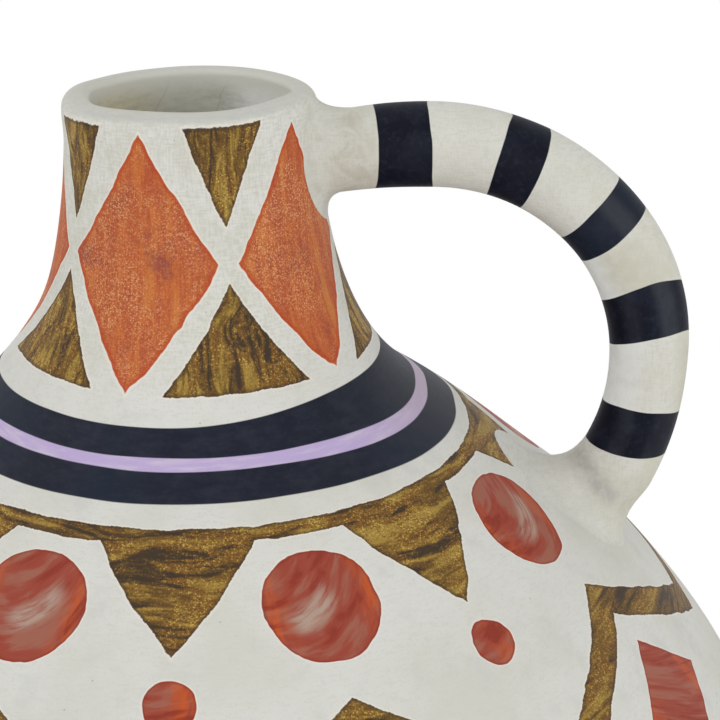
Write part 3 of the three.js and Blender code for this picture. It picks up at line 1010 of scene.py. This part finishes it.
def neck_figures(p):
    """Red lozenges, with brown teeth above and below each gap between them."""
    at_lozenge = p.from_figure(LOZENGES, LOZENGE_START)
    at_gap = p.from_figure(LOZENGES, LOZENGE_START + 180 / LOZENGES)
    red = abs(at_lozenge) / LOZENGE_HALF_ANGLE + abs(p.drop - LOZENGE_DROP) / LOZENGE_HALF_LENGTH - 1
    lay_red(p, (red * LOZENGE_SLOPE + p.wobble).most(p.clear), p.upright)
    above, below = p.drop - TOP_TEETH_DROP, LOW_TEETH_DROP - p.drop
    top = tooth(at_gap, above, TOP_TEETH_ANGLE, TOP_TEETH_LENGTH, TOP_TEETH_SLOPE)
    foot = tooth(at_gap, below, LOW_TEETH_ANGLE, LOW_TEETH_LENGTH, LOW_TEETH_SLOPE)
    lay_brown(p, (top.least(foot) + p.ragged).most(p.clear + TOOTH_CLEAR), p.slanting)


def shoulder_figures(p):
    """A brown fringe with roundels in its bays and dots under its teeth, a zigzag and lozenges."""
    at_tooth = p.from_figure(SHOULDER_COUNT, 0)
    at_bay = p.from_figure(SHOULDER_COUNT, 180 / SHOULDER_COUNT)
    fringe = tooth(at_tooth, p.drop - FRINGE_DROP, FRINGE_ANGLE, FRINGE_LENGTH, FRINGE_SLOPE)
    line = ring(FRINGE_DROP + FRINGE_LINE, FRINGE_DROP, p.drop)
    swing = 1 - abs(at_tooth) / (90 / SHOULDER_COUNT)
    zigzag = abs(p.drop - ZIGZAG_DROP - swing * ZIGZAG_SWING) * ZIGZAG_SLOPE - ZIGZAG_HALF_WIDTH
    lay_brown(p, (fringe.least(line).least(zigzag) + p.ragged).most(p.clear), p.level)
    bay_across, bay_down = p.across(at_bay), p.drop - ROUNDEL_DROP
    roundel = disc(bay_across, bay_down, ROUNDEL_RADIUS)
    dot_across, dot_down = p.across(at_tooth), p.drop - DOT_DROP
    dot = disc(dot_across, dot_down, DOT_RADIUS)
    lozenge_down = abs(p.drop - DIAMOND_DROP) / DIAMOND_HALF_LENGTH
    lozenge = (abs(at_bay) / DIAMOND_ANGLE + lozenge_down - 1) * DIAMOND_SLOPE
    lay_roundel(p, (roundel.least(lozenge) + p.wobble).most(p.clear), bay_across, bay_down)
    past_across, past_down = DOT_STROKE_PAST
    lay_roundel(p, (dot + p.wobble).most(p.clear), dot_across + past_across, dot_down + past_down)


def belly_figures(p):
    """Brown teeth on both sides of the belly's rings, and a brown ring above the foot."""
    at_tooth = p.from_figure(BELLY_TEETH, 0)
    shape = (180 / BELLY_TEETH, BELLY_TEETH_LENGTH, BELLY_TEETH_SLOPE)
    rising = tooth(at_tooth, BELLY_RINGS[0] - BELLY_TEETH_GAP - p.drop, *shape)
    hanging = tooth(at_tooth, p.drop - BELLY_RINGS[3] - BELLY_TEETH_GAP, *shape)
    foot = ring(FOOT_RING_DROPS[1], FOOT_RING_DROPS[0], p.drop)
    lay_brown(p, rising.least(hanging).least(foot) + p.ragged, p.level)


def rings(p):
    """Navy, lilac and navy round the collar, wider under the handle, and round the belly."""
    back, low = p.turn.fall(*COLLAR_RETURN), p.turn.rise(*COLLAR_SAG)
    edges = []
    for height, lift, start, end, sag in COLLAR_EDGES:
        edges.append(height + (p.turn.rise(start, end) * lift + low * sag) * back)
    above = p.z.rise(*COLLAR_ABOVE)
    # Painted sheen: the rings grow greyer towards their right and left ends
    sheen_share = p.turn.rise(*COLLAR_SHEEN_RIGHT) * above
    painted_sheen = (sheen_share + p.turn.fall(*COLLAR_SHEEN_LEFT) * above * 0.8) * 0.7
    belly = ring(BELLY_RINGS[3], BELLY_RINGS[0], p.drop)
    belly_line = ring(BELLY_RINGS[2], BELLY_RINGS[1], p.drop)
    lay_navy(p, ring(edges[0], edges[3], p.z).least(belly) + p.steady, 0.0, painted_sheen)
    lay_lilac(p, ring(edges[1], edges[2], p.z).least(belly_line) + p.steady, sheen_share * 0.75)


def wall_paint():
    p = WallPaint("painted_wall")
    neck_figures(p)
    shoulder_figures(p)
    belly_figures(p)
    rings(p)
    return p.finish()


# Navy bands on the handle: runs of start and end on its outer side, the same on its inner side,
# and how far both bow between
HANDLE_BANDS = (
    (18.5, 34.7, 16.0, 35.5, 1.5, 0.0),
    (57.2, 67.7, 57.1, 70.3, -1.9, 0.2),
    (90.5, 101.7, 90.7, 103.3, -1.0, -0.5),
    (124.8, 139.0, 123.4, 142.4, -5.4, -4.2),
    (163.0, 175.5, 164.4, 182.1, -1.9, -0.6),
)
WORN_BAND = 96
HANDLE_WEAVE = 0.11
# Runs over which age, slip painted light, held places and painted sheen on the navy come and go
AGED_FROM = (65, 105)
INNER_LIGHT_FROM = (85, 110)
INNER_LIGHT_TO = (165, 182)
HELD_CROOK = 112
HELD_BACK = 151
SHEEN_INNER_FROM = (112, 122)
SHEEN_OUTER_FROM = (80, 88)
SHEEN_OUTER_TO = (145, 160)
# Ends of the painted shade across the handle's foot
VALLEY_SHADE_ENDS = ((121.6, 320.3), (135, 306))  # x and z of its ends


def foot_valley_shade(p):
    """Share of painted shade: 1 in the soft hollow that runs down and out across the handle's foot."""
    (x, z), (x_end, z_end) = VALLEY_SHADE_ENDS
    length = math.hypot(x_end - x, z_end - z)
    way_x, way_z = (x_end - x) / length, (z_end - z) / length
    along = (p.x - x) * way_x + (p.z - z) * way_z
    aside = (p.x - x) * way_z - (p.z - z) * way_x
    ends = along.rise(-7, -1) * along.fall(length - 3, length + 4)
    smudge = p.noise(p.spot, 3.2, 4, 0.7, 0.6)
    return abs(aside).fall(0.4, 5.2) * ends * p.y.fall(-5, 2) * (0.55 + smudge.rise(0.36, 0.62) * 0.5)


def painted_light_and_held(p, run, side):
    """Slip painted lighter inside the handle's bend as painted light, and yellower slip where it is
    held.
    """
    cloud = p.noise(p.spot, 3.5, 4, 0.65)
    # Painted light: paler slip on the inner side of the handle's bend
    painted_light = side.fall(-1.0, 0.1) * run.rise(*INNER_LIGHT_FROM) * run.fall(*INNER_LIGHT_TO)
    p.stain(painted_light * (0.95 - cloud.rise(0.42, 0.66) * 0.3), SLIP_PAINTED_LIGHT)
    crook = abs(side).fall(0.3, 0.85) * abs(run - HELD_CROOK).fall(6, 13)
    back = side.rise(0.4, 0.95) * abs(run - HELD_BACK).fall(7, 14)
    p.stain(crook.most(back) * (0.7 + cloud.rise(0.36, 0.62) * 0.3), SLIP_HELD)


def painted_sheen_streaks(p, run, side):
    """Share of painted sheen, grey streaks of reflection on the navy, along both flanks of the handle's
    front.
    """
    inner = abs(side + 0.43).fall(0.05, 0.3) * run.rise(*SHEEN_INNER_FROM) * 0.45
    outer = abs(side - 0.45).fall(0.08, 0.36) * run.rise(*SHEEN_OUTER_FROM)
    outer = outer * (1 - run.rise(*SHEEN_OUTER_TO) * 0.65)
    return (inner + outer) * p.y.fall(-6, -1)


def handle_paint():
    p = Paint("painted_handle")
    run, side, root = p.value("run"), p.value("side"), p.value("root")
    steady = p.noise(p.spot, 14, 1) - 0.5
    at_shoulder = root * run.rise(HANDLE_LENGTH / 2, HANDLE_LENGTH)
    age = 0.2 + run.rise(*AGED_FROM) * (0.35 + side * 0.55)
    slip_ground(p, age * (1 - at_shoulder), HANDLE_WEAVE)
    near_root = run.least(HANDLE_LENGTH - run).fall(6, 30) * (1 - root * root * 0.6)
    greyish_smudges(p, near_root * (1 - at_shoulder) * (0.9 + run.fall(20, 40) * 0.25))
    # Painted shade in the hollow across the handle's foot
    p.stain(foot_valley_shade(p) * 0.9, SLIP_SHADE)
    painted_light_and_held(p, run, side)
    share = (side + 1) * 0.5
    flank = (1 - side * side).most(0).math("SQRT")
    bands = None
    for outer_start, outer_end, inner_start, inner_end, start_bow, end_bow in HANDLE_BANDS:
        start = inner_start + share * (outer_start - inner_start) + flank * start_bow
        end = inner_end + share * (outer_end - inner_end) + flank * end_bow
        band = ring(end, start, run)
        bands = band if bands is None else bands.least(band)
    deep = 1 - abs(run - WORN_BAND).fall(10, 16) * 0.6
    # The navy bands get painted sheen streaks along the front flanks
    lay_navy(p, bands + steady, deep, painted_sheen_streaks(p, run, side))
    return p.finish()


def inner_slip():
    """Thin greyish slip inside the mouth, painted paler towards +X as painted light, with a few hairline
    cracks from drying.
    """
    p = Paint("inner_slip")
    cloud = p.noise(p.spot, 16, 4, 0.6)
    grain = p.noise(p.spot, 0.9, 3, 0.6)
    brush = p.noise(p.vector(p.x * 0.3, p.y * 0.3, p.z), 1.6, 3, 0.6)
    deep = p.z.fall(RIM - INNER_CLEAN, RIM - LIP_INNER_ROUND)
    ground = p.mix(p.x.rise(-27, -8), INNER_STAIN, INNER_GREY)
    # Painted light: paler towards +X, with less dark mottling there
    ground = p.mix(p.x.rise(-2, 22), ground, INNER_PAINTED_LIGHT)
    dark = (cloud * 0.6 + brush * 0.4).rise(0.4, 0.66) * (0.8 - p.x.rise(2, 22) * 0.5)
    ground = p.mix(dark, ground, INNER_DARK)
    p.colour = p.mix(deep, INNER_TOP, ground)
    crack = p.tree.nodes.new("ShaderNodeTexVoronoi")
    crack.feature = "DISTANCE_TO_EDGE"
    crack.inputs["Scale"].default_value = 1 / CRACK_SPACING
    slant = (p.z - RIM) * 0.5
    feed(crack.inputs["Vector"], p.vector(p.x + cloud * 7 - slant, p.y, p.z * 0.5 + cloud * 5))
    line = Val(crack.outputs["Distance"]).fall(0.001, 0.007)
    p.stain(line * deep * 0.3, SLIP_SPECK)
    p.rough = 0.78 + grain * 0.1
    p.relief = grain * 0.06 + cloud * 0.2
    return p.finish()


def bare_clay():
    p = Paint("bare_clay")
    cloud = p.noise(p.spot, 22, 4, 0.6)
    grain = p.noise(p.spot, 0.8, 3, 0.65)
    near, pick = p.cells(3.5)
    grog = near.fall(0.1, 0.22) * pick.rise(0.6, 0.65)
    p.colour = p.mix((cloud * 0.7 + grain * 0.3).rise(0.35, 0.68), CLAY_WARM, CLAY_DARK)
    p.stain(grog * 0.5, SLIP_WARM)
    p.rough = 0.82 + grain * 0.12
    p.relief = grain * 0.12 + cloud * 0.1
    return p.finish()


# Assembly

def place(piece, node, slot):
    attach(piece, "root")
    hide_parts(node)


painted, banded, plain, clay = wall_paint(), handle_paint(), inner_slip(), bare_clay()
section = [painted, plain, clay]
place(make_base(clay), "base_disc", "bare_clay")
place(make_bowl(section), "lower_bowl", "painted_slip")
place(make_dome(section), "upper_dome", "painted_slip")
place(make_neck(section), "neck", "painted_slip")
place(make_lip(section), "lip", "painted_slip")
place(make_floor_coil(clay), "floor_coil", "bare_clay")
place(make_coil("belly_coil_clay", BELLY_SEAM, clay), "belly_coil", "bare_clay")
place(make_coil("neck_coil_clay", NECK_SEAM, clay), "neck_coil", "bare_clay")
place(make_handle(banded), "handle", "painted_slip")
place(make_lute("upper_root_lute", False, banded), "handle_top_lute", "painted_slip")
place(make_lute("lower_root_lute", True, banded), "handle_foot_lute", "painted_slip")


# Stage, light and camera

FLOOR_SIZE = 16
FLOOR_COLOUR = (0.92, 0.92, 0.92)
FLOOR_WHITE_FROM = 0.26
FLOOR_WHITE_TO = 0.42


def seen_rays(tree):
    """1 for what the camera sees, by itself or in a reflection or through glass."""
    rays = tree.nodes.new("ShaderNodeLightPath")
    seen = Val(rays.outputs["Is Camera Ray"])
    for kind in ("Is Glossy Ray", "Is Transmission Ray"):
        seen = seen.most(Val(rays.outputs[kind]))
    return seen


def make_floor():
    mesh = bpy.data.meshes.new("floor")
    half = FLOOR_SIZE / 2
    corners = [(-half, -half, 0), (half, -half, 0), (half, half, 0), (-half, half, 0)]
    mesh.from_pydata(corners, [], [(0, 1, 2, 3)])
    floor = add_object("floor", mesh)
    p = Paint("floor_white")
    tree = p.tree
    away = (p.x * p.x + p.y * p.y).math("SQRT") * MM
    white = away.rise(FLOOR_WHITE_FROM, FLOOR_WHITE_TO) * seen_rays(tree)
    matt = tree.nodes.new("ShaderNodeBsdfDiffuse")
    feed(matt.inputs["Color"], FLOOR_COLOUR)
    glow = tree.nodes.new("ShaderNodeEmission")
    blend = tree.nodes.new("ShaderNodeMixShader")
    output = tree.nodes.new("ShaderNodeOutputMaterial")
    feed(blend.inputs[0], white)
    tree.links.new(matt.outputs[0], blend.inputs[1])
    tree.links.new(glow.outputs[0], blend.inputs[2])
    tree.links.new(blend.outputs[0], output.inputs["Surface"])
    mesh.materials.append(p.material)


WORLD_LIGHT = 0.78
KEY_PLACE = (-1.6, -0.5, 2.0)
KEY_SIZE = 1.9
KEY_POWER = 8
FILL_PLACE = (1.0, -1.9, 0.1)
FILL_SIZE = 2.4
FILL_POWER = 20
AIM = (0.02, 0, 0.32)


def make_world():
    world = bpy.data.worlds.new("studio")
    bpy.context.scene.world = world
    world.use_nodes = True
    tree = world.node_tree
    tree.nodes.clear()
    back = tree.nodes.new("ShaderNodeBackground")
    output = tree.nodes.new("ShaderNodeOutputWorld")
    feed(back.inputs["Strength"], seen_rays(tree) * (1 - WORLD_LIGHT) + WORLD_LIGHT)
    feed(back.inputs["Color"], (1.0, 1.0, 1.0))
    tree.links.new(back.outputs[0], output.inputs["Surface"])


def make_lamp(name, spot, size, power):
    data = bpy.data.lights.new(name, "AREA")
    data.shape = "DISK"
    data.size = size
    data.energy = power
    lamp = add_object(name, data)
    lamp.location = spot
    way = np.array(AIM) - np.array(spot)
    flat = math.hypot(way[0], way[1])
    lamp.rotation_euler = (math.atan2(flat, -way[2]), 0, math.atan2(way[1], way[0]) - math.pi / 2)


def make_camera():
    data = bpy.data.cameras.new("camera")
    data.lens = CAMERA_LENS
    data.sensor_width = CAMERA_SENSOR
    camera = add_object("camera", data)
    camera.location = [v * MM for v in CAMERA_PLACE]
    camera.rotation_euler = (math.radians(90 - CAMERA_DOWN), 0, 0)
    bpy.context.scene.camera = camera


make_floor()
make_world()
make_lamp("key", KEY_PLACE, KEY_SIZE, KEY_POWER)
make_lamp("fill", FILL_PLACE, FILL_SIZE, FILL_POWER)
make_camera()
bpy.context.scene.view_settings.view_transform = "Standard"
